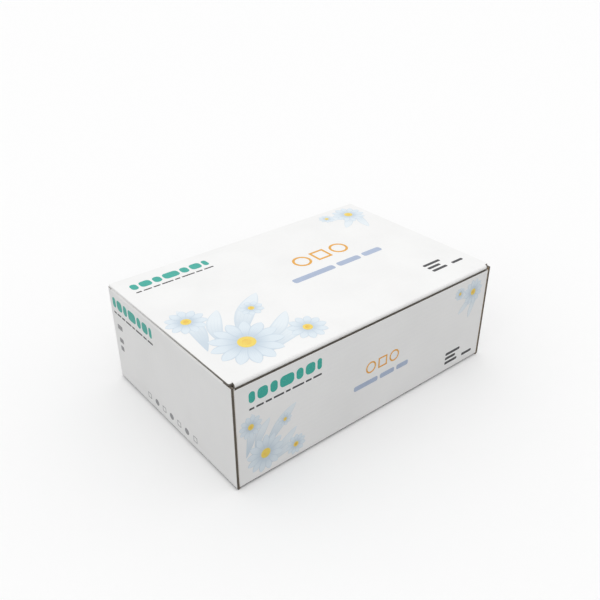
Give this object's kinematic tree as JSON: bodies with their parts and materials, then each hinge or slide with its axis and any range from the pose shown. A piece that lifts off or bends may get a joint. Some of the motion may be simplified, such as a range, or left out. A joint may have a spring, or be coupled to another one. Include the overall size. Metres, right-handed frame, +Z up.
{
  "type": "rapid test kit carton",
  "caption": "Empty printed micro-flute carton for lab test kits, with rolled-over side walls and a hinged lid that tucks in behind the front wall.",
  "frame": {"origin": "centre of the footprint on the plane that the carton stands on", "axes": "+X along the long front wall to the viewer's right, +Y from the front wall to the hinged back wall, +Z up through the lid"},
  "size_m": [0.2, 0.131, 0.069],
  "materials": {
    "board": "matt white coated liner"
  },
  "bodies": {
    "tray": {"tray": "board"},
    "lid": {"lid": "board"}
  },
  "joints": [
    {"name": "lid_hinge", "type": "hinge", "parent": "tray", "child": "lid", "pos_m": [0, 0.0655, 0.0675], "axis": [-1, 0, 0], "range_deg": [0, 180]}
  ]
}
